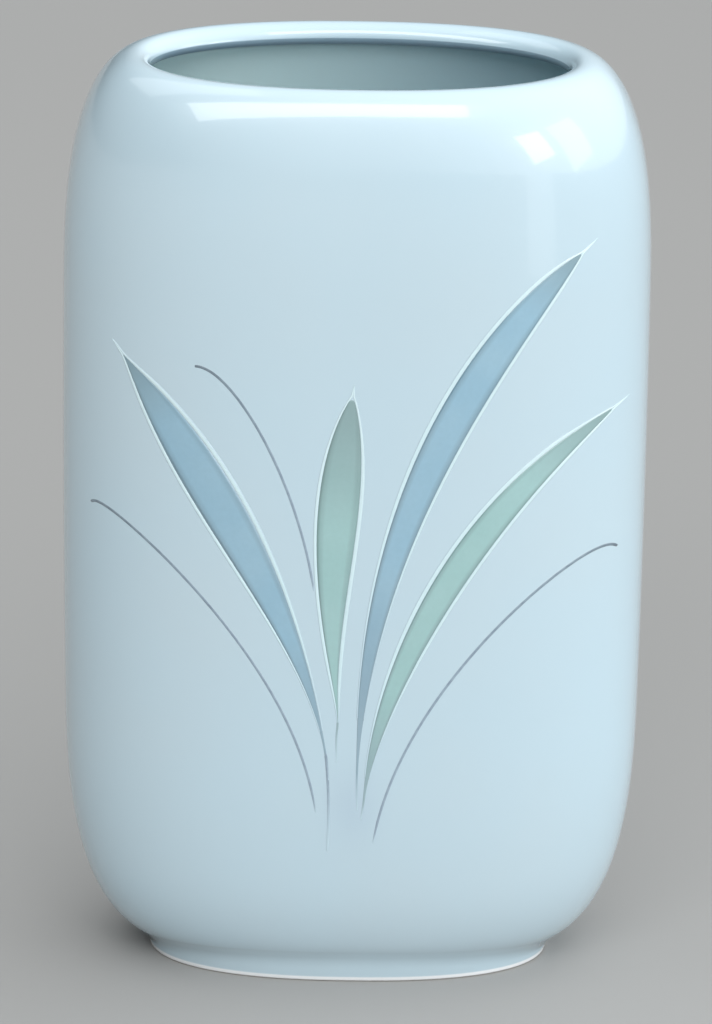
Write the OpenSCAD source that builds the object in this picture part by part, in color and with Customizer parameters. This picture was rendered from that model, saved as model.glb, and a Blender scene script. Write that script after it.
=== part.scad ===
// Flattened porcelain vase on a low foot ring, with a grass-blade decoration on its front.
// Millimetres, +Z up. The origin is the middle of the foot's tread. The width runs along X
// and the decorated front faces -Y. Every plan outline is a superellipse, and the side
// outline is made of two superelliptic arcs, a shoulder and a lower corner, with a nearly
// straight wall between them.

/* [Body] */
// Greatest width, side to side
body_w = 123; // [110:1:140]
// Greatest depth, front to back
body_d = 60; // [56:1:70]
// Height from the table to the top of the lip
body_h = 201.5; // [185:0.5:220]
// Wall thickness
wall = 4; // [3.5:0.25:5]
// Squareness of the plan outline, where 2 is an ellipse
body_square = 2.5; // [2.2:0.1:3]
// How much narrower the wall is at the table than at its widest level
wall_taper = 0.03; // [0:0.005:0.05]

/* [Shoulder and mouth] */
// Height at which the shoulder starts to turn in
shoulder_z = 148; // [135:1:160]
// Side-to-side size of the lip's crest
lip_w = 93; // [80:1:100]
// Front-to-back size of the lip's crest
lip_d = 42; // [38:1:46]
// Radius of the rounded inner edge of the lip
lip_r = 2.8; // [1.5:0.1:3]
// Squareness of the mouth opening
mouth_square = 2.1; // [2:0.1:2.6]

/* [Lower corner and foot] */
// Height at which the lower corner starts to turn in
corner_z = 60; // [45:1:80]
// Side-to-side size of the foot
foot_w = 85; // [76:1:92]
// Front-to-back size of the foot
foot_d = 44; // [38:1:48]
// Squareness of the foot's outline
foot_square = 2.4; // [2.1:0.1:3]
// Height of the foot's wall at the front and back
foot_h_front = 5.7; // [4.5:0.1:7]
// Height of the foot's wall at the two ends
foot_h_end = 2; // [1.8:0.1:3]
// Width of the foot ring's tread
foot_wall = 4; // [3:0.25:5]
// Radius of the foot's lower outer edge
foot_edge_r = 1; // [0.6:0.1:1.4]

/* [Decoration] */
// Thickness of a transfer
transfer_t = 0.12; // [0.08:0.01:0.2]
// Width of the pale line round each blade
outline_w = 0.6; // [0.4:0.05:0.8]
// How far the pale line runs on past a blade's tip
outline_tip = 3.3; // [1:0.1:4]
// Width of a tendril's line
tendril_w = 0.45; // [0.3:0.05:0.7]

/* [Hidden] */

// Colours
porcelain = [0.86, 0.92, 0.95];
blade_blue = [0.60, 0.73, 0.80];
blade_green = [0.60, 0.73, 0.73];
pale_line = [0.86, 0.95, 0.98];
stem_grey = [0.42, 0.49, 0.55];

// Vertices round each plan outline, and rows in each arc of the side outline
segments = 88;
arc_rows = 9;
nose_rows = 4;
edge_rows = 3;
wall_rows = 3;
floor_scales = [0.7, 0.35];

// Half sizes
body_a = body_w / 2;
body_b = body_d / 2;
lip_a = lip_w / 2;
lip_b = lip_d / 2;
foot_a = foot_w / 2;
foot_b = foot_d / 2;
lip_square = (body_square + mouth_square) / 2;

// Exponents of the arcs: first how square the arc is outwards, then upwards
shoulder_out = 1.95;
shoulder_up = 3;
corner_out = 2.4;
corner_down = 2.8;

// The wall is widest at this height and narrows below it
widest_z = 140;

// The lower corner's arc stops at this angle, where it meets the foot at a slant
corner_end = 75;
// The last part of the corner's arc lifts to follow the top of the foot
lift_start = 0.6;
lift_power = 0.9;

// Underside, inside the foot ring
recess_z = 5.2;
// Inner floor: its height, and how much smaller it is than the foot
floor_z = 10;
floor_inset = 5;

// A transfer lies this far off the true surface, so that the flat facets below stay clear
transfer_gap = 0.1;
// Stations along a blade and along a tendril
blade_stations = 26;
tendril_stations = 26;
// Where the pale line stops, as a share of the blade's length
outline_end = 0.92;
// Room between a blade and its pale line
outline_gap = 0.05;

// The parts of a blade: four control points of its middle line from tip to root, its
// half width, and two exponents: where the widest place is, and how slender the ends are
blue_left = [[[-48.5, 143], [-35.5, 125.5], [-9.5, 86.5], [-5, 55]], 4.6, 0.72, 1.7];
green_centre = [[[-0.5, 137.5], [-7.5, 84], [-1.5, 69], [-3, 62]], 4.2, 0.4, 2.4];
blue_right = [[[46.5, 167], [32.5, 155], [2.5, 115.5], [1.5, 52]], 3.8, 0.82, 1.05];
green_right = [[[54, 131], [24.5, 115], [5, 71.5], [3, 45.5]], 3.1, 0.72, 1.15];

// Control points of the tendrils, from the curled end down
left_outer = [[-55, 107.5], [-52.5, 113.5], [-12, 80], [-7, 42]];
left_inner = [[-33.5, 142.5], [-25.5, 143.5], [-11.5, 118], [-8, 93]];
right_outer = [[55.5, 99], [49.5, 107], [10, 73], [5, 35]];
left_stem = [[-4.9, 54], [-4.2, 48], [-4.2, 40], [-4.6, 33.5]];

// ---- plan outlines ----

function signed_pow(v, p) = sign(v) * pow(abs(v), p);

function plan_point(a, b, n, t) = [
    a * signed_pow(cos(t), 2 / n),
    b * signed_pow(sin(t), 2 / n)
];

function turn(j) = 360 * j / segments;

function plan_ring(a, b, n, z) = [
    for (j = [0:segments - 1])
        let (p = plan_point(a, b, n, turn(j)))
        [p[0], p[1], z]
];

// ---- side outline of the outer surface ----

function smooth(v) = let (c = min(1, max(0, v))) c * c * (3 - 2 * c);

function mix(a, b, f) = a + (b - a) * f;

function taper(z) = 1 - wall_taper * pow(max(0, (widest_z - z) / widest_z), 2);

function arc_out(up, out_exp, up_exp) = pow(max(0, 1 - pow(up, up_exp)), 1 / out_exp);

corner_out_end = pow(cos(corner_end), 2 / corner_out);
corner_down_end = pow(sin(corner_end), 2 / corner_down);

// How far out the surface stands at height z: 1 on the wall, 0 at the lip or the foot
function shoulder_share(z) =
    arc_out((z - shoulder_z) / (body_h - shoulder_z), shoulder_out, shoulder_up);

function corner_share(z) = let (
    down = (corner_z - z) / (corner_z - foot_h_end) * corner_down_end,
    out = arc_out(down, corner_out, corner_down)
) (out - corner_out_end) / (1 - corner_out_end);

// Half width, half depth and squareness at height z
function level(z) =
    z > shoulder_z ? let (s = shoulder_share(z)) [
        mix(lip_a, body_a, s) * taper(z),
        mix(lip_b, body_b, s) * taper(z),
        mix(lip_square, body_square, s)
    ] : z < corner_z ? let (s = corner_share(z)) [
        mix(foot_a, body_a, s) * mix(1, taper(z), s),
        mix(foot_b, body_b, s) * mix(1, taper(z), s),
        mix(foot_square, body_square, s)
    ] : [body_a * taper(z), body_b * taper(z), body_square];

function level_ring(z) = let (l = level(z)) plan_ring(l[0], l[1], l[2], z);

// Height of the top of the foot's wall, all the way round
function foot_top(t) = mix(foot_h_end, foot_h_front, pow(abs(sin(t)), lift_power));

function lifted(ring, share) = [
    for (j = [0:segments - 1])
        ring[j] + [0, 0, share * (foot_top(turn(j)) - foot_h_end)]
];

// ---- rows of the body, from the middle of the underside to the middle of the floor ----

function underside_row(inset, scale) = [
    for (j = [0:segments - 1]) let (
        p = plan_point((foot_a - inset) * scale, (foot_b - inset) * scale, foot_square, turn(j)),
        out = scale * (foot_a - inset) / foot_a
    ) [p[0], p[1], mix(recess_z, foot_top(turn(j)), out * out)]
];

underside_rows = concat(
    [for (k = [len(floor_scales) - 1:-1:0]) underside_row(foot_wall, floor_scales[k])],
    [underside_row(foot_wall, 1)]
);

corner_rows = [for (k = [0:arc_rows]) let (
    angle = corner_end * (1 - k / arc_rows),
    down = pow(sin(angle), 2 / corner_down) / corner_down_end,
    z = mix(corner_z, foot_h_end, down)
) lifted(level_ring(z), smooth((down - lift_start) / (1 - lift_start)))];

straight_rows = [for (k = [1:wall_rows])
    level_ring(mix(corner_z, shoulder_z, k / (wall_rows + 1)))];

shoulder_rows = [for (k = [0:arc_rows])
    level_ring(mix(shoulder_z, body_h, pow(sin(90 * k / arc_rows), 2 / shoulder_up)))];

// Quarter round from the lip's crest down to the mouth
nose_row_list = [for (k = [1:nose_rows]) let (
    angle = 90 * k / nose_rows,
    inset = lip_r * sin(angle)
) plan_ring(
    lip_a - inset,
    lip_b - inset,
    mix(lip_square, mouth_square, k / nose_rows),
    body_h - lip_r * (1 - cos(angle))
)];

// The inner surface is the same family of arcs, one wall thickness in from the outer one
mouth_a = lip_a - lip_r;
mouth_b = lip_b - lip_r;
throat_z = body_h - wall;
inner_floor_a = foot_a - floor_inset;
inner_floor_b = foot_b - floor_inset;

inner_shoulder_rows = [for (k = [arc_rows:-1:0]) let (
    angle = 90 * k / arc_rows,
    z = mix(shoulder_z, throat_z, pow(sin(angle), 2 / shoulder_up)),
    s = pow(cos(angle), 2 / shoulder_out)
) plan_ring(
    mix(mouth_a, (body_a - wall) * taper(z), s),
    mix(mouth_b, (body_b - wall) * taper(z), s),
    mix(mouth_square, body_square, s),
    z
)];

inner_wall_rows = [for (k = [wall_rows:-1:1]) let (
    z = mix(corner_z, shoulder_z, k / (wall_rows + 1))
) plan_ring((body_a - wall) * taper(z), (body_b - wall) * taper(z), body_square, z)];

inner_corner_rows = [for (k = [0:arc_rows]) let (
    angle = 90 * k / arc_rows,
    z = mix(corner_z, floor_z, pow(sin(angle), 2 / corner_down)),
    s = pow(cos(angle), 2 / corner_out)
) plan_ring(
    mix(inner_floor_a, (body_a - wall) * taper(z), s),
    mix(inner_floor_b, (body_b - wall) * taper(z), s),
    mix(foot_square, body_square, s),
    z
)];

inner_floor_rows = [for (scale = floor_scales)
    plan_ring(inner_floor_a * scale, inner_floor_b * scale, foot_square, floor_z)];

body_rows = concat(
    underside_rows, corner_rows, straight_rows, shoulder_rows, nose_row_list,
    inner_shoulder_rows, inner_wall_rows, inner_corner_rows, inner_floor_rows
);

// ---- rows of the foot ring: up its outer wall, in under the body, down its inner wall ----

foot_edge_start = 25;
cut_depth = 1;

function foot_row(inset, z) = plan_ring(foot_a - inset, foot_b - inset, foot_square, z);

foot_edge_rows = [for (k = [0:edge_rows]) let (
    angle = mix(foot_edge_start, 90, k / edge_rows)
) foot_row(foot_edge_r * (1 - sin(angle)), foot_edge_r * (1 - cos(angle)))];

foot_rows = concat(
    [foot_row(foot_edge_r * (1 - sin(foot_edge_start)), -cut_depth)],
    foot_edge_rows,
    [lifted(foot_row(0, foot_h_end), 1)],
    [underside_row(foot_wall, 1)],
    [foot_row(foot_wall, -cut_depth)]
);

// ---- lofts through rows of points; every row turns the same way about the rows' run ----

// One face pair between two rows, with its diagonal from (row, j) or, if flipped, (row, j + 1)
function skin_faces(count, rows, first, flip) = [
    for (i = [0:rows - 2], j = [0:count - 1]) let (
        a = first + i * count + j,
        b = first + i * count + (j + 1) % count,
        c = a + count,
        d = b + count
    ) each (flip ? [[a, c, b], [c, d, b]] : [[a, c, d], [a, d, b]])
];

// A closed solid through rows that start and end at a single point
module capped_loft(start, rows, end) {
    count = len(rows[0]);
    last = 1 + (len(rows) - 1) * count;
    tail = last + count;
    polyhedron(
        points = concat([start], [for (row = rows) each row], [end]),
        faces = concat(
            [for (j = [0:count - 1]) [0, 1 + j, 1 + (j + 1) % count]],
            skin_faces(count, len(rows), 1, false),
            [for (j = [0:count - 1]) [last + j, tail, last + (j + 1) % count]]
        ),
        convexity = 8
    );
}

// A ring-shaped solid: the last row joins the first
module looped_loft(rows) {
    count = len(rows[0]);
    total = len(rows) * count;
    faces = skin_faces(count, len(rows) + 1, 0, true);
    polyhedron(
        points = [for (row = rows) each row],
        faces = [for (f = faces) [for (v = f) v % total]],
        convexity = 8
    );
}

// ---- the front surface, for the transfers ----

function front_y(x, z) = let (l = level(z))
    -l[1] * pow(max(0, 1 - pow(abs(x) / l[0], l[2])), 1 / l[2]);

// The point over (x, z) on the front, moved out along the surface's normal
slope_step = 0.05;
function on_front(p, out) = let (
    y = front_y(p[0], p[1]),
    slope_x = (front_y(p[0] + slope_step, p[1]) - y) / slope_step,
    slope_z = (front_y(p[0], p[1] + slope_step) - y) / slope_step,
    reach = out / norm([slope_x, 1, slope_z])
) [p[0] + slope_x * reach, y - reach, p[1] + slope_z * reach];

function curve(c, s) =
    pow(1 - s, 3) * c[0] + 3 * pow(1 - s, 2) * s * c[1]
    + 3 * (1 - s) * s * s * c[2] + pow(s, 3) * c[3];

function curve_run(c, s) = let (
    run = pow(1 - s, 2) * (c[1] - c[0]) + 2 * (1 - s) * s * (c[2] - c[1])
        + s * s * (c[3] - c[2])
) run / norm(run);

// The point a signed distance to one side of a curve
function beside(c, s, side) = let (run = curve_run(c, s)) curve(c, s) + side * [-run[1], run[0]];

function blade_half(blade, s) = blade[1] * pow(sin(180 * pow(s, blade[2])), blade[3]);

transfer_low = transfer_gap;
transfer_top = transfer_gap + transfer_t;
transfer_mid = (transfer_low + transfer_top) / 2;
// A strip of transfer across a curve: its lower face one way, then its upper face back
function strip_row(c, s, sides) = concat(
    [for (side = sides) on_front(beside(c, s, side), transfer_low)],
    [for (k = [len(sides) - 1:-1:0]) on_front(beside(c, s, sides[k]), transfer_top)]
);

blade_across = [-1, -0.5, 0, 0.5, 1];
least_half = 0.04;

module blade_fill(blade) {
    c = blade[0];
    rows = [for (k = [1:blade_stations - 1]) let (
        s = k / blade_stations,
        half = max(least_half, blade_half(blade, s))
    ) strip_row(c, s, half * blade_across)];
    capped_loft(on_front(c[0], transfer_mid), rows, on_front(c[3], transfer_mid));
}

// The pale line runs up one side of the blade, round its tip and down the other side
module blade_outline(blade) {
    c = blade[0];
    tip_run = curve_run(c, 0);
    side_stations = [for (k = [1:blade_stations - 1]) k / blade_stations * outline_end];
    up_rows = [for (k = [len(side_stations) - 1:-1:0])
        outline_row(blade, side_stations[k], -1)];
    down_rows = [for (s = side_stations) outline_row(blade, s, 1)];
    near = c[0] - outline_gap * 4 * tip_run;
    far = c[0] - outline_tip * tip_run;
    tip_row = [
        on_front(near, transfer_low), on_front(far, transfer_low),
        on_front(far, transfer_top), on_front(near, transfer_top)
    ];
    capped_loft(
        outline_cap(blade, -1),
        concat(up_rows, [tip_row], down_rows),
        outline_cap(blade, 1)
    );
}

function outline_row(blade, s, side) = let (
    inner = blade_half(blade, s) + outline_gap,
    outer = inner + outline_w
) [
    on_front(beside(blade[0], s, side * inner), transfer_low),
    on_front(beside(blade[0], s, side * outer), transfer_low),
    on_front(beside(blade[0], s, side * outer), transfer_top),
    on_front(beside(blade[0], s, side * inner), transfer_top)
];

function outline_cap(blade, side) = let (
    middle = blade_half(blade, outline_end) + outline_gap + outline_w / 2
) on_front(beside(blade[0], outline_end, side * middle), transfer_mid);

// A line of one width that narrows to a point at each end
module tendril(c) {
    rows = [for (k = [1:tendril_stations - 1]) let (s = k / tendril_stations)
        strip_row(c, s, tendril_w / 2 * [-1, 1])];
    capped_loft(on_front(c[0], transfer_mid), rows, on_front(c[3], transfer_mid));
}

// ---- the parts ----

module body() {
    color(porcelain)
        capped_loft([0, 0, recess_z], body_rows, [0, 0, floor_z]);
}

module foot_ring() {
    color(porcelain)
        difference() {
            looped_loft(foot_rows);
            translate([-foot_w, -foot_d, -2 * cut_depth])
                cube([2 * foot_w, 2 * foot_d, 2 * cut_depth]);
        }
}

module blade_blue_left() { color(blade_blue) blade_fill(blue_left); }
module blade_green_centre() { color(blade_green) blade_fill(green_centre); }
module blade_blue_right() { color(blade_blue) blade_fill(blue_right); }
module blade_green_right() { color(blade_green) blade_fill(green_right); }

module outline_blue_left() { color(pale_line) blade_outline(blue_left); }
module outline_green_centre() { color(pale_line) blade_outline(green_centre); }
module outline_blue_right() { color(pale_line) blade_outline(blue_right); }
module outline_green_right() { color(pale_line) blade_outline(green_right); }

module tendril_left_outer() { color(stem_grey) tendril(left_outer); }
module tendril_left_inner() { color(stem_grey) tendril(left_inner); }
module tendril_right() { color(stem_grey) tendril(right_outer); }
module stem_left() { color(stem_grey) tendril(left_stem); }

body();
foot_ring();
blade_blue_left();
blade_green_centre();
blade_blue_right();
blade_green_right();
outline_blue_left();
outline_green_centre();
outline_blue_right();
outline_green_right();
tendril_left_outer();
tendril_left_inner();
tendril_right();
stem_left();
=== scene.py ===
"""A flattened porcelain vase with a grass-blade decoration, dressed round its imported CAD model.

Everything is in metres, in the CAD model's frame: +Z up, X along the width, the decorated
front facing -Y. The outer surface follows the same superellipse formulas as the CAD model,
so the smooth meshes here lie on the CAD solids that they replace.
"""
import math

import bpy
import numpy as np
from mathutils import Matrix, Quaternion, Vector


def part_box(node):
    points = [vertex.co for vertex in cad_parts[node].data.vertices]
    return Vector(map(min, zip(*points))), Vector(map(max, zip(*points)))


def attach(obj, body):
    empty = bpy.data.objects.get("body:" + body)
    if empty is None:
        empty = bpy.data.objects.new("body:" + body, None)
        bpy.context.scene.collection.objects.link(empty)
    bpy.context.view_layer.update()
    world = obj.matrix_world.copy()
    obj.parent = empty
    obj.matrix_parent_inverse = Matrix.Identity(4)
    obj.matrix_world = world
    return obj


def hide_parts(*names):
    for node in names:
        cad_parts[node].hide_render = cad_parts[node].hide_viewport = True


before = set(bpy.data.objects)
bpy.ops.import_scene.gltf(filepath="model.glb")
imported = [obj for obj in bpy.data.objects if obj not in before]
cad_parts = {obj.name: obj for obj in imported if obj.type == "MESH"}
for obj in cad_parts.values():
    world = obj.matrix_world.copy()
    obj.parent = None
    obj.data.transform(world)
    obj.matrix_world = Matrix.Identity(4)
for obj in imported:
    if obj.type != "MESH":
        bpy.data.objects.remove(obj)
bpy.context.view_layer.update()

MM = 0.001

# ---- sizes, from the CAD model's boxes ----

body_low, body_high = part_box("body")
foot_low, foot_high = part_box("foot_ring")
BODY_A = (body_high[0] - body_low[0]) / 2
BODY_B = (body_high[1] - body_low[1]) / 2
BODY_H = body_high[2]
FOOT_A = (foot_high[0] - foot_low[0]) / 2
FOOT_B = (foot_high[1] - foot_low[1]) / 2
FOOT_FRONT = foot_high[2]
FOOT_END = body_low[2]

# ---- the shape, with the CAD model's names and values ----

WALL = 4 * MM
BODY_SQUARE = 2.5
WALL_TAPER = 0.03
SHOULDER_Z = 148 * MM
LIP_A = 46.5 * MM
LIP_B = 21 * MM
LIP_R = 2.8 * MM
MOUTH_SQUARE = 2.1
LIP_SQUARE = (BODY_SQUARE + MOUTH_SQUARE) / 2
CORNER_Z = 60 * MM
FOOT_SQUARE = 2.4
FOOT_WALL = 4 * MM
FOOT_EDGE_R = 0.6 * MM
SHOULDER_OUT = 1.95
SHOULDER_UP = 3
CORNER_OUT = 2.4
CORNER_DOWN = 2.8
WIDEST_Z = 140 * MM
CORNER_END = math.radians(75)
LIFT_START = 0.6
LIFT_POWER = 0.9
RECESS_Z = 5.2 * MM
FLOOR_Z = 10 * MM
FLOOR_INSET = 5 * MM
CORNER_OUT_END = math.cos(CORNER_END) ** (2 / CORNER_OUT)
CORNER_DOWN_END = math.sin(CORNER_END) ** (2 / CORNER_DOWN)

SEGMENTS = 256
TURN = np.linspace(0, 2 * math.pi, SEGMENTS, endpoint=False)


def mix(a, b, f):
    return a + (b - a) * f


def smooth(v):
    c = np.clip(v, 0, 1)
    return c * c * (3 - 2 * c)


def signed_pow(v, p):
    return np.sign(v) * np.abs(v) ** p


def plan_ring(a, b, n, z):
    """One row of points round a superellipse with half sizes a and b and squareness n."""
    x = a * signed_pow(np.cos(TURN), 2 / n)
    y = b * signed_pow(np.sin(TURN), 2 / n)
    return np.column_stack([x, y, np.full(SEGMENTS, z)])


def taper(z):
    return 1 - WALL_TAPER * np.clip((WIDEST_Z - z) / WIDEST_Z, 0, None) ** 2


def level(z):
    """Half width, half depth and squareness of the outer surface at height z."""
    z = np.asarray(z, float)
    up = np.clip((z - SHOULDER_Z) / (BODY_H - SHOULDER_Z), 0, 1)
    top = (1 - up ** SHOULDER_UP) ** (1 / SHOULDER_OUT)
    down = np.clip((CORNER_Z - z) / (CORNER_Z - FOOT_END), 0, 1) * CORNER_DOWN_END
    out = (1 - down ** CORNER_DOWN) ** (1 / CORNER_OUT)
    low = (out - CORNER_OUT_END) / (1 - CORNER_OUT_END)
    high = z > SHOULDER_Z
    a = np.where(
        high, mix(LIP_A, BODY_A, top) * taper(z), mix(FOOT_A, BODY_A, low) * mix(1, taper(z), low)
    )
    b = np.where(
        high, mix(LIP_B, BODY_B, top) * taper(z), mix(FOOT_B, BODY_B, low) * mix(1, taper(z), low)
    )
    n = np.where(high, mix(LIP_SQUARE, BODY_SQUARE, top), mix(FOOT_SQUARE, BODY_SQUARE, low))
    return a, b, n


def level_ring(z):
    a, b, n = level(z)
    return plan_ring(float(a), float(b), float(n), z)


FOOT_TOP = mix(FOOT_END, FOOT_FRONT, np.abs(np.sin(TURN)) ** LIFT_POWER)


def lifted(ring, share):
    """A row near the foot, raised to follow the top of the foot's wall."""
    ring = ring.copy()
    ring[:, 2] += share * (FOOT_TOP - FOOT_END)
    return ring


def underside_row(inset, scale):
    ring = plan_ring((FOOT_A - inset) * scale, (FOOT_B - inset) * scale, FOOT_SQUARE, 0)
    out = scale * (FOOT_A - inset) / FOOT_A
    ring[:, 2] = mix(RECESS_Z, FOOT_TOP, out * out)
    return ring


def corner_row(angle):
    """The row of the lower corner's arc at an angle: 0 on the wall, CORNER_END at the foot."""
    down = math.sin(angle) ** (2 / CORNER_DOWN) / CORNER_DOWN_END
    ring = level_ring(mix(CORNER_Z, FOOT_END, down))
    return lifted(ring, smooth((down - LIFT_START) / (1 - LIFT_START)))


# ---- meshes ----


def mesh_object(name, points, faces, marks=None):
    """A smooth-shaded object; marks are per-point numbers that its material reads by name."""
    mesh = bpy.data.meshes.new(name)
    mesh.from_pydata(points.tolist(), [], faces)
    mesh.validate()
    for mark, values in (marks or {}).items():
        layer = mesh.attributes.new(mark, "FLOAT", "POINT")
        layer.data.foreach_set("value", np.asarray(values, np.float32))
    mesh.polygons.foreach_set("use_smooth", [True] * len(mesh.polygons))
    obj = bpy.data.objects.new(name, mesh)
    bpy.context.scene.collection.objects.link(obj)
    return obj


def skin(count, rows, first=0, total=None):
    """Faces between rows of points; with total, the last row joins the first."""
    faces = []
    for i in range(rows - 1):
        for j in range(count):
            a = first + i * count + j
            b = first + i * count + (j + 1) % count
            quad = [a, b, b + count, a + count]
            faces.append([v % total for v in quad] if total else quad)
    return faces


def capped(start, rows, end):
    """Points and faces of a closed solid whose rows start and end at single points."""
    count = len(rows[0])
    points = np.vstack([[start], *rows, [end]])
    last = 1 + (len(rows) - 1) * count
    tail = last + count
    faces = [[0, 1 + (j + 1) % count, 1 + j] for j in range(count)]
    faces += skin(count, len(rows), 1)
    faces += [[last + j, last + (j + 1) % count, tail] for j in range(count)]
    return points, faces


# ---- the body ----

UNDERSIDE_ROWS = 10
CORNER_ROWS = 44
WALL_ROWS = 26
SHOULDER_ROWS = 44
NOSE_ROWS = 12
INNER_ROWS = 30
INNER_FLOOR_ROWS = 8
MOUTH_MARK = 0.35
INSIDE_FULL = 1.5 * MM
CREASE_DARKENING_REACH = 1.6 * MM
WASH_AT = (0.5 * MM, 44 * MM)
WASH_SIZE = (5 * MM, 8 * MM)


def outer_rows():
    rows = [underside_row(FOOT_WALL, k / UNDERSIDE_ROWS) for k in range(1, UNDERSIDE_ROWS + 1)]
    rows += [corner_row(CORNER_END * (1 - k / CORNER_ROWS)) for k in range(CORNER_ROWS + 1)]
    rows += [
        level_ring(mix(CORNER_Z, SHOULDER_Z, k / (WALL_ROWS + 1)))
        for k in range(1, WALL_ROWS + 1)
    ]
    for k in range(SHOULDER_ROWS + 1):
        up = math.sin(math.pi / 2 * k / SHOULDER_ROWS) ** (2 / SHOULDER_UP)
        rows.append(level_ring(mix(SHOULDER_Z, BODY_H, up)))
    return rows


def nose_rows():
    rows = []
    for k in range(1, NOSE_ROWS + 1):
        angle = math.pi / 2 * k / NOSE_ROWS
        inset = LIP_R * math.sin(angle)
        square = mix(LIP_SQUARE, MOUTH_SQUARE, k / NOSE_ROWS)
        z = BODY_H - LIP_R * (1 - math.cos(angle))
        rows.append(plan_ring(LIP_A - inset, LIP_B - inset, square, z))
    return rows


def inner_ring(end_a, end_b, end_square, share, z):
    """A row of the inner surface: share 1 is the wall, 0 the mouth or the floor."""
    wide = (BODY_A - WALL) * taper(z)
    deep = (BODY_B - WALL) * taper(z)
    return plan_ring(
        mix(end_a, wide, share), mix(end_b, deep, share), mix(end_square, BODY_SQUARE, share), z
    )


def inner_rows():
    mouth = (LIP_A - LIP_R, LIP_B - LIP_R, MOUTH_SQUARE)
    floor = (FOOT_A - FLOOR_INSET, FOOT_B - FLOOR_INSET, FOOT_SQUARE)
    rows = []
    for k in range(INNER_ROWS, -1, -1):
        angle = math.pi / 2 * k / INNER_ROWS
        z = mix(SHOULDER_Z, BODY_H - WALL, math.sin(angle) ** (2 / SHOULDER_UP))
        rows.append(inner_ring(*mouth, math.cos(angle) ** (2 / SHOULDER_OUT), z))
    for k in range(WALL_ROWS, 0, -1):
        z = mix(CORNER_Z, SHOULDER_Z, k / (WALL_ROWS + 1))
        rows.append(inner_ring(*floor, 1, z))
    for k in range(INNER_ROWS + 1):
        angle = math.pi / 2 * k / INNER_ROWS
        z = mix(CORNER_Z, FLOOR_Z, math.sin(angle) ** (2 / CORNER_DOWN))
        rows.append(inner_ring(*floor, math.cos(angle) ** (2 / CORNER_OUT), z))
    for k in range(INNER_FLOOR_ROWS - 1, 0, -1):
        scale = k / INNER_FLOOR_ROWS
        rows.append(plan_ring(floor[0] * scale, floor[1] * scale, FOOT_SQUARE, FLOOR_Z))
    return rows


def make_body():
    outer = outer_rows()
    nose = nose_rows()
    inner = inner_rows()
    rows = outer + nose + inner
    points, faces = capped((0, 0, RECESS_Z), rows, (0, 0, FLOOR_Z))
    # inside: 0 on the outer surface and MOUTH_MARK on the lip's last row, then from a half on the
    # inner surface's first row to 1 at INSIDE_FULL below it; the material paints a dark shade
    # line over the lip's last row that fades out within INSIDE_FULL down the inside
    inside = [0.0] * (1 + len(outer) * SEGMENTS)
    for k in range(1, len(nose) + 1):
        inside += [MOUTH_MARK if k == len(nose) else 0.0] * SEGMENTS
    depth = (BODY_H - WALL - np.vstack(inner)[:, 2]) / INSIDE_FULL
    inside += (0.5 + 0.5 * np.clip(depth, 0, 1)).tolist() + [1.0]
    # how near a point lies to the crease over the foot; the colour darkens there
    crease_z = np.tile(FOOT_TOP, len(rows))
    crease_darkening = np.exp(-np.abs(points[1:-1, 2] - crease_z) / CREASE_DARKENING_REACH)
    crease_darkening[(UNDERSIDE_ROWS + CORNER_ROWS + 1) * SEGMENTS:] = 0
    crease_darkening = np.concatenate([[0.0], crease_darkening, [0.0]])
    # wash: a faint shade on the front where the blades spring from
    across = (points[:, 0] - WASH_AT[0]) / WASH_SIZE[0]
    up = (points[:, 2] - WASH_AT[1]) / WASH_SIZE[1]
    wash = np.exp(-(across ** 2 + up ** 2)) * (points[:, 1] < -BODY_B / 2)
    return mesh_object("vase_body", points, faces, {"inside": inside, "crease_darkening": crease_darkening, "wash": wash})


# ---- the foot ring ----

FILLET = 2.2 * MM
FILLET_TOP = 0.90
FILLET_ROWS = 10
SLOPE_STEP = 0.005
SHARP_ANGLE = math.radians(40)
LEAST_WALL = 1.4 * FOOT_EDGE_R
FOOT_EDGE_ROWS = 8
INNER_EDGE_R = 0.5 * MM
# the foot's top lies hidden in the body: drawn in to this share of its size, and this far up
HIDDEN_SHARE = 0.97
SINK = 0.4 * MM


def foot_row(inset, z):
    return plan_ring(FOOT_A - inset, FOOT_B - inset, FOOT_SQUARE, z)


def outness(row):
    return np.hypot(row[:, 0] / FOOT_A, row[:, 1] / FOOT_B)


def fillet_rows():
    """The glaze in the corner over the foot: an arc from its wall, tangent to the body."""
    top = corner_row(CORNER_END * FILLET_TOP)
    slope = top - corner_row(CORNER_END * (FILLET_TOP + SLOPE_STEP))
    wall = foot_row(0, 0)
    reach = (outness(top) - outness(wall)) / (outness(top) - outness(top - slope))
    meet_z = top[:, 2] - reach * slope[:, 2]
    meet = wall + np.outer(np.maximum(meet_z, LEAST_WALL), [0, 0, 1])
    start = meet - np.outer(np.minimum(FILLET, 0.6 * (meet[:, 2] - FOOT_EDGE_R)), [0, 0, 1])
    rows = []
    for k in range(FILLET_ROWS + 1):
        s = k / FILLET_ROWS
        rows.append((1 - s) ** 2 * start + 2 * (1 - s) * s * meet + s * s * top)
    return rows


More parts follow.
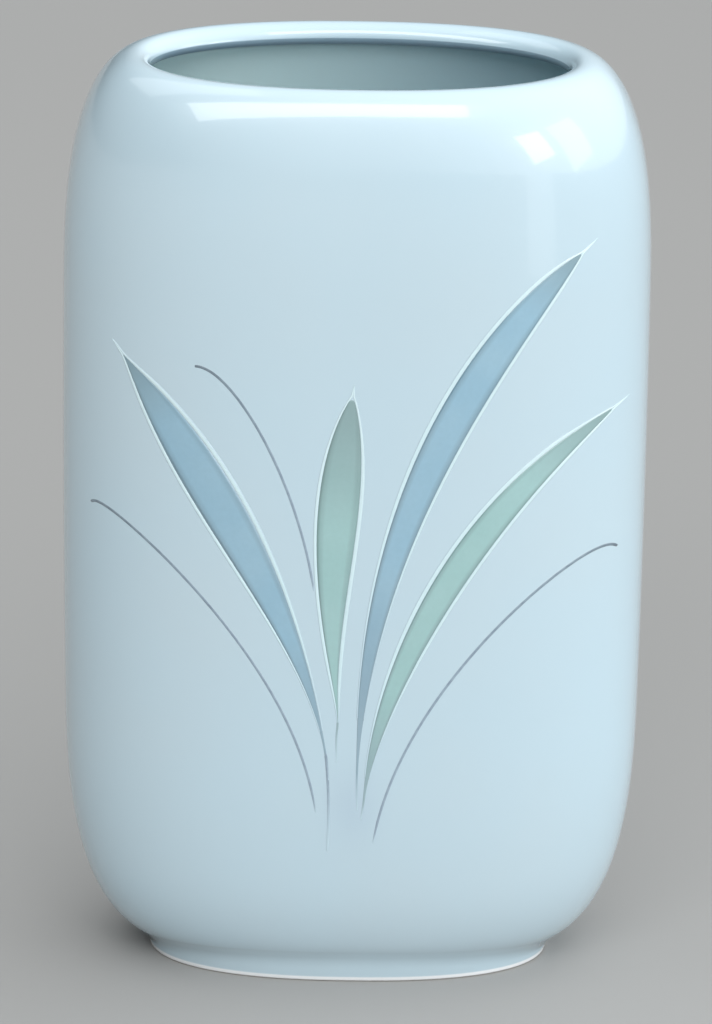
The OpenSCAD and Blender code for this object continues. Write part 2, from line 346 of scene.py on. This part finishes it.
def make_foot():
    edge = []
    for k in range(FOOT_EDGE_ROWS + 1):
        angle = math.pi / 2 * k / FOOT_EDGE_ROWS
        inset = FOOT_EDGE_R * (1 - math.sin(angle))
        edge.append(foot_row(inset, FOOT_EDGE_R * (1 - math.cos(angle))))
    fillet = fillet_rows()
    top_outer = fillet[-1] * [HIDDEN_SHARE, HIDDEN_SHARE, 1]
    top_outer[:, 2] += SINK
    top_inner = underside_row(FOOT_WALL, 1)
    top_inner[:, 2] += SINK
    inner_edge = []
    for k in range(FOOT_EDGE_ROWS, -1, -1):
        angle = math.pi / 2 * k / FOOT_EDGE_ROWS
        inset = FOOT_WALL - INNER_EDGE_R * (1 - math.sin(angle))
        inner_edge.append(foot_row(inset, INNER_EDGE_R * (1 - math.cos(angle))))
    rows = edge + fillet + [top_outer, top_inner] + inner_edge
    points = np.vstack(rows)
    faces = skin(SEGMENTS, len(rows) + 1, 0, len(points))
    # how near a point lies to the crease; the material darkens there
    crease_darkening = np.exp(-np.abs(points[:, 2] - np.tile(FOOT_TOP, len(rows))) / CREASE_DARKENING_REACH)
    foot = mesh_object("vase_foot", points, faces, {"crease_darkening": crease_darkening})
    foot.data.set_sharp_from_angle(angle=SHARP_ANGLE)
    return foot


# ---- the decoration: transfers on the front surface ----

NORMAL_STEP = 0.05 * MM


def front_y(x, z):
    a, b, n = level(z)
    return -b * np.clip(1 - (np.abs(x) / a) ** n, 0, None) ** (1 / n)


def on_front(flat, out):
    """Points over flat (x, z) on the front, moved out along the surface's normal."""
    step = NORMAL_STEP
    x, z = flat[:, 0], flat[:, 1]
    y = front_y(x, z)
    slope_x = (front_y(x + step, z) - y) / step
    slope_z = (front_y(x, z + step) - y) / step
    reach = out / np.sqrt(slope_x ** 2 + 1 + slope_z ** 2)
    return np.column_stack([x + slope_x * reach, y - reach, z + slope_z * reach])


def curve(c, s):
    return (
        (1 - s) ** 3 * c[0] + 3 * (1 - s) ** 2 * s * c[1]
        + 3 * (1 - s) * s * s * c[2] + s ** 3 * c[3]
    )


def curve_run(c, s):
    run = (1 - s) ** 2 * (c[1] - c[0]) + 2 * (1 - s) * s * (c[2] - c[1]) + s * s * (c[3] - c[2])
    return run / np.linalg.norm(run)


def beside(c, s, sides):
    """Points at signed distances to the side of a curve."""
    run = curve_run(c, s)
    return curve(c, s) + np.outer(sides, [-run[1], run[0]])


class Blade:
    """Middle line from tip to root, half width, where it is widest, how slender its ends are,
    the side with the bolder outline, how far that runs on past the tip, and the tail's end."""

    def __init__(self, line, half, widest, slender, bold, spike, tail=None):
        self.line = np.array(line, float) * MM
        self.half = half * MM
        self.widest = widest
        self.slender = slender
        self.bold = bold
        self.spike = spike * MM
        self.tail = np.array(tail, float) * MM if tail else None

    def half_at(self, s):
        return self.half * math.sin(math.pi * s ** self.widest) ** self.slender

    def tail_line(self):
        root = self.line[3]
        third = np.linalg.norm(self.tail - root) / 3
        start = root + third * curve_run(self.line, 1)
        return np.array([root, start, (root + 2 * self.tail) / 3, self.tail])


BLADES = {
    "blue_left": Blade(
        [[-48.5, 143], [-35.5, 125.5], [-9.5, 86.5], [-5, 55]], 4.6, 0.72, 1.7, 1, 3.6, [-4.5, 50]
    ),
    "green_centre": Blade(
        [[-0.5, 137.5], [-7.5, 84], [-2, 69], [-2.8, 62]], 4.2, 0.4, 2.4, 1, 2.6, [-2.8, 54]
    ),
    "blue_right": Blade(
        [[46.5, 167], [32.5, 155], [2.5, 115.5], [1.5, 52]], 3.8, 0.82, 1.05, -1, 4.2, [1.6, 43]
    ),
    "green_right": Blade(
        [[54, 131], [24.5, 115], [5, 71.5], [3, 45.5]], 3.1, 0.72, 1.15, -1, 3.6, [2.4, 41]
    ),
}
TENDRILS = {
    "tendril_left_outer": [[-55, 107.5], [-52.5, 113.5], [-12, 80], [-7, 42]],
    "tendril_left_inner": [[-33.5, 142.5], [-25.5, 143.5], [-11.5, 118], [-8, 93]],
    "tendril_right": [[55.5, 99], [49.5, 107], [10, 73], [5, 35]],
    "stem_left": [[-5.25, 57], [-4.5, 51.7], [-4.1, 41], [-4.6, 33.5]],
}
STATIONS = 110
SUNK = -0.06 * MM
FILL_H = 0.03 * MM
LINE_H = 0.06 * MM
TENDRIL_H = 0.035 * MM
OUTLINE_BOLD = 0.95 * MM
OUTLINE_FINE = 0.72 * MM
OUTLINE_END = 0.94
OUTLINE_TAPER = 0.3
SPIKE_W = 0.42 * MM
SPIKE_END = 0.02 * MM
SPIKE_ROWS = 14
TENDRIL_W = 0.6 * MM
# first_run, fade_from and top_width of make_tendril
TENDRIL_PAINT = (0.0, 0.97, 0.7)
STEM_PAINT = (0.7, 0.25, 0.1)
TIP_HALF = 0.04 * MM
TAIL_HALF = 0.22 * MM
TAIL_TAPER = 0.7
TAIL_ROWS = 24
ROOT_FADE = 0.15
FILL_ACROSS = np.linspace(-1, 1, 13)
LINE_ACROSS = np.linspace(0, 1, 9)


def strip_row(flat, heights):
    """One closed row: along the raised upper side, then back along the sunk lower side."""
    upper = on_front(flat, heights)
    lower = on_front(flat, np.full(len(flat), SUNK))
    return np.vstack([lower, upper[::-1]])


def make_fill(name, blade):
    height = FILL_H * (1 - FILL_ACROSS ** 6)
    both_ways = np.abs(np.concatenate([FILL_ACROSS, FILL_ACROSS[::-1]])).tolist()
    rows, run, edge, fade = [], [0.0], [0.0], [0.0]

    def add(line, s, half, row_run, row_fade):
        rows.append(strip_row(beside(line, s, half * FILL_ACROSS), height))
        run.extend([row_run] * len(both_ways))
        fade.extend([row_fade] * len(both_ways))
        edge.extend(both_ways)

    for k in range(1, STATIONS):
        s = k / STATIONS
        least = mix(TIP_HALF, TAIL_HALF, smooth((s - 0.6) / 0.3))
        root_fade = ROOT_FADE * smooth((s - 0.85) / 0.15)
        add(blade.line, s, math.hypot(least, blade.half_at(s)), s, root_fade)
    end = blade.line[3:]
    if blade.tail is not None:
        line = blade.tail_line()
        end = line[3:]
        for k in range(TAIL_ROWS):
            s = k / TAIL_ROWS
            add(line, s, TAIL_HALF * mix(1, TAIL_TAPER, s), 1, mix(ROOT_FADE, 1, s))
    points, faces = capped(on_front(blade.line[:1], SUNK)[0], rows, on_front(end, SUNK)[0])
    marks = {"run": run + [1.0], "edge": edge + [0.0], "fade": fade + [fade[-1]]}
    return mesh_object("blade_" + name, points, faces, marks)


def make_outline(name, blade):
    """A raised line up one side of the blade, in a spike past its tip, down the other side."""
    ridge = LINE_H * np.sin(math.pi * LINE_ACROSS)
    both_ways = np.concatenate([LINE_ACROSS, LINE_ACROSS[::-1]]).tolist()
    tip_run = curve_run(blade.line, 0)
    tip_side = np.array([-tip_run[1], tip_run[0]])

    def full_width(side):
        return OUTLINE_BOLD if side == blade.bold else OUTLINE_FINE

    def side_row(s, side):
        full = full_width(side) * mix(1, OUTLINE_TAPER, smooth((s - 0.5) / 0.45))
        width = mix(SPIKE_W, full, smooth(s / 0.15))
        sides = side * (blade.half_at(s) + width * LINE_ACROSS)
        return strip_row(beside(blade.line, s, sides), ridge)

    def spike_row(out, side):
        width = SPIKE_W * (1 - out) ** 0.8
        middle = blade.line[0] - out * blade.spike * tip_run
        return strip_row(middle + np.outer(side * width * LINE_ACROSS, tip_side), ridge)

    # each side's rows from the root up: first beside the blade, then along the spike
    stations = [k / STATIONS * OUTLINE_END for k in range(STATIONS - 1, 0, -1)]
    spike = [k / SPIKE_ROWS for k in range(SPIKE_ROWS)]
    up, down = (
        [side_row(s, side) for s in stations] + [spike_row(out, side) for out in spike]
        for side in (-1, 1)
    )
    end_row = strip_row(
        blade.line[0] - blade.spike * tip_run - np.outer(SPIKE_END * LINE_ACROSS, tip_run),
        ridge * 0.1,
    )
    rows = up + [end_row] + down[::-1]
    run = stations + [0.0] * (2 * SPIKE_ROWS + 1) + stations[::-1]
    run = [s for s in run for _ in both_ways]

    def cap(side):
        middle = blade.half_at(OUTLINE_END) + full_width(side) * OUTLINE_TAPER / 2
        return on_front(beside(blade.line, OUTLINE_END, [side * middle]), SUNK)[0]

    points, faces = capped(cap(-1), rows, cap(1))
    marks = {
        "run": [OUTLINE_END] + run + [OUTLINE_END],
        "across": [0.5] + both_ways * len(rows) + [0.5],
    }
    return mesh_object("outline_" + name, points, faces, marks)


def make_tendril(name, line, first_run, fade_from, top_width):
    """A raised line along a curve. The paint's run starts at first_run, it fades from fade_from
    down, and the upper end has top_width of the full width."""
    line = np.array(line, float) * MM
    across = np.linspace(-0.5, 0.5, 7)
    ridge = TENDRIL_H * (0.25 + 0.75 * np.cos(math.pi * across))
    rows, run, fade = [], [first_run], [0.0]
    for k in range(1, STATIONS):
        s = k / STATIONS
        width = TENDRIL_W * mix(1, 0.85, s) * min(1, 12 * s + top_width, 10 * (1 - s) + 0.5)
        row = strip_row(beside(line, s, width * across), ridge)
        rows.append(row)
        run += [mix(first_run, 1, s)] * len(row)
        fade += [smooth((s - fade_from) / (1 - fade_from))] * len(row)
    points, faces = capped(on_front(line[:1], SUNK)[0], rows, on_front(line[3:], SUNK)[0])
    return mesh_object(name + "_line", points, faces, {"run": run + [1.0], "fade": fade + [1.0]})


# ---- materials ----

GLAZE = (0.58, 0.75, 0.84)
GLAZE_WARM = (0.59, 0.745, 0.825)
# the colour darkens to this towards the crease over the foot
GLAZE_CREASE_DARKER = (0.44, 0.56, 0.62)
# painted shade: the foot's wall is darker than the body's glaze
GLAZE_FOOT_PAINTED_SHADE = (0.52, 0.66, 0.73)
# painted light and shade inside the mouth: the colour runs from the paler one at -X to the darker
# one at +X
GLAZE_INSIDE_PAINTED_LIGHT = (0.78, 0.97, 0.98)
GLAZE_INSIDE_PAINTED_SHADE = (0.45, 0.62, 0.69)
# painted shade: the dark line along the mouth's edge, where the lip turns down inside
GLAZE_MOUTH_PAINTED_SHADE = (0.24, 0.34, 0.42)
GLAZE_WASH = (0.45, 0.58, 0.72)
# painted highlight: a white line along the foot's lower edge
RIM_PAINTED_HIGHLIGHT = (0.92, 0.94, 0.95)
BISQUE = (0.70, 0.68, 0.63)
BISQUE_DARK = (0.60, 0.57, 0.52)
ENAMEL_TOP = (0.76, 0.95, 0.99)
ENAMEL_LOW = (0.72, 0.94, 0.99)
ENAMEL_SHADE = (0.47, 0.60, 0.70)
TRANSFER_SPECK = (0.70, 0.86, 0.90)
LINE_STOPS = [
    (0.0, (0.10, 0.14, 0.18)),
    (0.25, (0.17, 0.24, 0.30)),
    (0.6, (0.25, 0.33, 0.42)),
    (1.0, (0.30, 0.39, 0.49)),
]
FLOOR_DARK = (0.38, 0.375, 0.365)
FLOOR_LIGHT = (0.405, 0.40, 0.39)
# colours at a blade's tip, along its middle and at its root
BLADE_COLOURS = {
    "blue": ((0.22, 0.34, 0.39), (0.31, 0.53, 0.67), (0.26, 0.39, 0.48)),
    "green": ((0.25, 0.38, 0.39), (0.36, 0.60, 0.59), (0.28, 0.41, 0.45)),
}
GLAZE_IOR = 1.6
COAT_ROUGH = 0.05
GLAZE_ROUGH = 0.25
TRANSFER_ROUGH = 0.28
ENAMEL_ROUGH = 0.2


class Nodes:
    """Short calls for one material's node tree."""

    def __init__(self, name):
        self.material = bpy.data.materials.new(name)
        self.material.use_nodes = True
        self.tree = self.material.node_tree
        self.shader = self.tree.nodes["Principled BSDF"]

    def add(self, kind, **settings):
        node = self.tree.nodes.new(kind)
        for key, value in settings.items():
            setattr(node, key, value)
        return node

    def link(self, output, socket):
        self.tree.links.new(output, socket)

    def number(self, name):
        return self.add("ShaderNodeAttribute", attribute_name=name).outputs["Fac"]

    def noise(self, scale, detail):
        place = self.add("ShaderNodeTexCoord").outputs["Object"]
        node = self.add("ShaderNodeTexNoise")
        node.inputs["Scale"].default_value = scale
        node.inputs["Detail"].default_value = detail
        self.link(place, node.inputs["Vector"])
        return node.outputs["Fac"]

    def ramp(self, source, stops):
        node = self.add("ShaderNodeValToRGB")
        ramp = node.color_ramp
        while len(ramp.elements) < len(stops):
            ramp.elements.new(0.5)
        for element, (place, colour) in zip(ramp.elements, stops):
            element.position = place
            element.color = (*colour, 1)
        self.link(source, node.inputs["Fac"])
        return node.outputs["Color"]

    def grey(self, source, low, high, at_low=0.0, at_high=1.0):
        node = self.add("ShaderNodeMapRange")
        node.inputs["From Min"].default_value = low
        node.inputs["From Max"].default_value = high
        node.inputs["To Min"].default_value = at_low
        node.inputs["To Max"].default_value = at_high
        self.link(source, node.inputs["Value"])
        return node.outputs["Result"]

    def blend(self, share, first, second):
        node = self.add("ShaderNodeMix", data_type="RGBA")
        self.link(share, node.inputs["Factor"])
        for value, socket in ((first, node.inputs["A"]), (second, node.inputs["B"])):
            if isinstance(value, tuple):
                socket.default_value = (*value, 1)
            else:
                self.link(value, socket)
        return node.outputs["Result"]

    def speckle(self, scale, detail, strength):
        """Fine noise that reaches from 0 to strength."""
        return self.grey(self.noise(scale, detail), 0.3, 0.7, 0, strength)

    def drift(self, strength=1):
        """A slow change from place to place that reaches from 0 to strength."""
        return self.grey(self.noise(22, 2), 0.35, 0.65, 0, strength)

    def bump(self, source, strength, distance):
        node = self.add("ShaderNodeBump")
        node.inputs["Strength"].default_value = strength
        node.inputs["Distance"].default_value = distance
        self.link(source, node.inputs["Height"])
        self.link(node.outputs["Normal"], self.shader.inputs["Normal"])
        self.link(node.outputs["Normal"], self.shader.inputs["Coat Normal"])

    def gloss(self, rough):
        """A clear coat of glaze over a colour that is itself a little rough."""
        self.shader.inputs["Roughness"].default_value = rough
        self.shader.inputs["IOR"].default_value = GLAZE_IOR
        self.shader.inputs["Coat Weight"].default_value = 1
        self.shader.inputs["Coat Roughness"].default_value = COAT_ROUGH
        self.shader.inputs["Coat IOR"].default_value = GLAZE_IOR


def porcelain():
    """Cool white glaze, darker in the crease over the foot, with a painted shade line at the
    mouth's edge. Inside, the colour holds painted light and shade: paler towards -X and darker
    towards +X, which is a guess at how it looks."""
    m = Nodes("porcelain_glaze")
    colour = m.blend(m.drift(), GLAZE, GLAZE_WARM)
    # darker towards the crease over the foot
    colour = m.blend(m.number("crease_darkening"), colour, GLAZE_CREASE_DARKER)
    colour = m.blend(m.grey(m.number("wash"), 0, 1, 0, 0.35), colour, GLAZE_WASH)
    place = m.add("ShaderNodeSeparateXYZ")
    m.link(m.add("ShaderNodeTexCoord").outputs["Object"], place.inputs["Vector"])
    # painted light and shade inside: paler towards -X, darker towards +X
    across = m.grey(place.outputs["X"], -BODY_A / 2, BODY_A / 2)
    painted_inside = m.blend(across, GLAZE_INSIDE_PAINTED_LIGHT, GLAZE_INSIDE_PAINTED_SHADE)
    # painted shade: a dark line along the mouth's edge
    painted_inside = m.blend(m.grey(m.number("inside"), 0.55, 0.95), GLAZE_MOUTH_PAINTED_SHADE, painted_inside)
    colour = m.blend(m.grey(m.number("inside"), 0.15, 0.35), colour, painted_inside)
    m.link(colour, m.shader.inputs["Base Color"])
    m.gloss(GLAZE_ROUGH)
    m.bump(m.noise(60, 2), 0.12, 0.4 * MM)
    return m.material


def foot_porcelain():
    """Glazed wall with painted shade, darker in the crease over it, a painted highlight as a
    white line along its lower edge, and a bare tread.
    """
    m = Nodes("foot_porcelain")
    height = m.add("ShaderNodeSeparateXYZ")
    m.link(m.add("ShaderNodeTexCoord").outputs["Object"], height.inputs["Vector"])
    # painted shade on the foot's wall, darker still towards the crease
    glazed = m.blend(m.number("crease_darkening"), GLAZE_FOOT_PAINTED_SHADE, GLAZE_CREASE_DARKER)
    glazed = m.blend(m.drift(0.3), glazed, GLAZE)
    # painted highlight: a white band from the bare tread up to about 1.25 mm
    rim_highlight = m.grey(height.outputs["Z"], 0.9 * MM, 1.25 * MM, 1, 0)
    bare = m.grey(height.outputs["Z"], 0.15 * MM, 0.30 * MM, 1, 0)
    bisque = m.blend(m.noise(900, 4), BISQUE, BISQUE_DARK)
    m.link(m.blend(bare, m.blend(rim_highlight, glazed, RIM_PAINTED_HIGHLIGHT), bisque), m.shader.inputs["Base Color"])
    m.gloss(GLAZE_ROUGH)
    m.link(m.grey(bare, 0, 1, GLAZE_ROUGH, 0.8), m.shader.inputs["Roughness"])
    m.link(m.grey(bare, 0, 1, 1, 0), m.shader.inputs["Coat Weight"])
    return m.material


def shade(colour, by):
    return tuple(c * by for c in colour)


def blade_material(name, tip, middle, root):
    """A fired transfer: dark at the tip and the edges, greyer at the root, fading in the tail."""
    m = Nodes(name)
    along = [(0.0, tip), (0.22, middle), (0.72, middle), (0.95, root)]
    beside_edge = [(0.0, shade(tip, 0.8)), (0.2, shade(middle, 0.72)), (1.0, shade(root, 0.9))]
    colour = m.blend(
        m.grey(m.number("edge"), 0.60, 0.95),
        m.ramp(m.number("run"), along),
        m.ramp(m.number("run"), beside_edge),
    )
    colour = m.blend(m.speckle(70, 4, 0.10), colour, TRANSFER_SPECK)
    colour = m.blend(m.speckle(900, 2, 0.08), colour, shade(middle, 0.6))
    colour = m.blend(m.number("fade"), colour, GLAZE)
    m.link(colour, m.shader.inputs["Base Color"])
    m.gloss(TRANSFER_ROUGH)
    m.bump(m.noise(400, 2), 0.1, 0.1 * MM)
    return m.material


def enamel_material():
    """Pale raised lines, shaded along their sides and fading towards the root."""
    m = Nodes("pale_enamel")
    bright = m.ramp(m.number("run"), [(0.0, ENAMEL_TOP), (0.7, ENAMEL_LOW), (OUTLINE_END, GLAZE)])
    sides = [(0.0, 0.4), (0.15, 0), (0.75, 0), (1.0, 1)]
    side = m.ramp(m.number("across"), [(place, (much,) * 3) for place, much in sides])
    colour = m.blend(side, bright, ENAMEL_SHADE)
    colour = m.blend(m.speckle(500, 3, 0.2), colour, GLAZE)
    colour = m.blend(m.grey(m.number("run"), 0.8, OUTLINE_END), colour, GLAZE)
    m.link(colour, m.shader.inputs["Base Color"])
    m.gloss(ENAMEL_ROUGH)
    return m.material


def line_material():
    """Dark grey at the curled end, paler downwards, gone where it fades."""
    m = Nodes("grey_line")
    colour = m.ramp(m.number("run"), LINE_STOPS)
    colour = m.blend(m.speckle(600, 3, 0.25), colour, GLAZE)
    colour = m.blend(m.number("fade"), colour, GLAZE)
    m.link(colour, m.shader.inputs["Base Color"])
    m.gloss(TRANSFER_ROUGH)
    return m.material


def floor_material():
    m = Nodes("studio_floor")
    colour = m.blend(m.noise(3, 2), FLOOR_DARK, FLOOR_LIGHT)
    m.link(colour, m.shader.inputs["Base Color"])
    m.shader.inputs["Roughness"].default_value = 0.75
    return m.material


# ---- the object ----


def stand_in(piece, node, material):
    piece.data.materials.append(material)
    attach(piece, "root")
    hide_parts(node)


BLADE_PAINT = {
    tone: blade_material(tone + "_transfer", *colours) for tone, colours in BLADE_COLOURS.items()
}
enamel = enamel_material()
grey_line = line_material()

stand_in(make_body(), "body", porcelain())
stand_in(make_foot(), "foot_ring", foot_porcelain())
for blade_name, blade in BLADES.items():
    tone = blade_name.split("_")[0]
    fill = make_fill(blade_name, blade)
    stand_in(fill, "blade_" + blade_name, BLADE_PAINT[tone])
    stand_in(make_outline(blade_name, blade), "outline_" + blade_name, enamel)
for line_name, line in TENDRILS.items():
    paint = STEM_PAINT if line_name == "stem_left" else TENDRIL_PAINT
    piece = make_tendril(line_name, line, *paint)
    stand_in(piece, line_name, grey_line)

# ---- the studio ----

FLOOR_HALF = 8.0
BRIGHTEST = (0.85, -0.23, 0.62)
WORLD_COLOUR = (0.95, 0.98, 1.0)
SKY_COLOUR = (0.94, 0.98, 1.0)
CAMERA_CENTRE = (0, 0, 98 * MM)
CAMERA_AIM = (0.5 * MM, 0, 99.1 * MM)
CAMERA_ELEVATION = 22.5
CAMERA_AWAY = 2.2
CAMERA_LENS = 366.2
CAMERA_ROLL = 0.84


def make_floor():
    corners = ((-1, -1, 0), (1, -1, 0), (1, 1, 0), (-1, 1, 0))
    points = FLOOR_HALF * np.array(corners, float)
    floor = mesh_object("floor", points, [[0, 1, 2, 3]])
    floor.data.materials.append(floor_material())


def aim(obj, place, target, roll=0.0):
    obj.location = place
    turn = (Vector(target) - Vector(place)).to_track_quat("-Z", "Y")
    obj.rotation_mode = "QUATERNION"
    obj.rotation_quaternion = turn @ Quaternion((0, 0, 1), math.radians(roll))


def place_at(azimuth, elevation, distance, centre):
    """A place seen from centre: azimuth 0 is in front of the vase and 90 on its +X side."""
    a, e = math.radians(azimuth), math.radians(elevation)
    back = Vector((math.sin(a) * math.cos(e), -math.cos(a) * math.cos(e), math.sin(e)))
    return Vector(centre) + distance * back


def softbox(name, azimuth, elevation, distance, size, power, colour=(1, 1, 1), roll=0.0):
    light = bpy.data.lights.new(name, "AREA")
    light.shape = "RECTANGLE"
    light.size, light.size_y = size
    light.energy = power
    light.color = colour
    obj = bpy.data.objects.new(name, light)
    bpy.context.scene.collection.objects.link(obj)
    centre = (0, 0, BODY_H / 2)
    aim(obj, place_at(azimuth, elevation, distance, centre), centre, roll)
    obj.visible_camera = False


def make_world():
    """Soft light from all round: strongest from the upper right, weakest from the lower left."""
    world = bpy.data.worlds.new("studio")
    bpy.context.scene.world = world
    world.use_nodes = True
    tree = world.node_tree
    back = tree.nodes["Background"]
    place = tree.nodes.new("ShaderNodeTexCoord")
    toward = tree.nodes.new("ShaderNodeVectorMath")
    toward.operation = "DOT_PRODUCT"
    toward.inputs[1].default_value = BRIGHTEST
    tree.links.new(place.outputs["Generated"], toward.inputs[0])
    strength = tree.nodes.new("ShaderNodeMapRange")
    limits = {"From Min": -0.28, "From Max": 1.0, "To Min": 0.02, "To Max": 1.62}
    for limit, value in limits.items():
        strength.inputs[limit].default_value = value
    tree.links.new(toward.outputs["Value"], strength.inputs["Value"])
    back.inputs["Color"].default_value = (*WORLD_COLOUR, 1)
    tree.links.new(strength.outputs["Result"], back.inputs["Strength"])


def make_camera():
    """In front and above, far off with a long lens, tilted a little to one side."""
    data = bpy.data.cameras.new("camera")
    camera = bpy.data.objects.new("camera", data)
    bpy.context.scene.collection.objects.link(camera)
    bpy.context.scene.camera = camera
    data.sensor_width = 36
    data.lens = CAMERA_LENS
    data.clip_start = 0.1
    data.clip_end = 50
    place = place_at(0, CAMERA_ELEVATION, CAMERA_AWAY, CAMERA_CENTRE)
    aim(camera, place, CAMERA_AIM, CAMERA_ROLL)


make_floor()
make_world()
softbox("front_window", -11, 42, 1.5, (1.33, 0.58), 6.4, roll=13)
softbox("skylight", -95, 62, 1.3, (0.9, 0.9), 2.2, SKY_COLOUR)
softbox("side_window_near", 37, 15, 0.9, (0.16, 0.20), 0.33, roll=20)
softbox("side_window_low", 36.5, 0, 0.45, (0.077, 0.15), 0.020)
softbox("side_window_far", 56, 17, 0.9, (0.26, 0.34), 0.40, roll=20)
make_camera()

bpy.context.scene.view_settings.view_transform = "Standard"
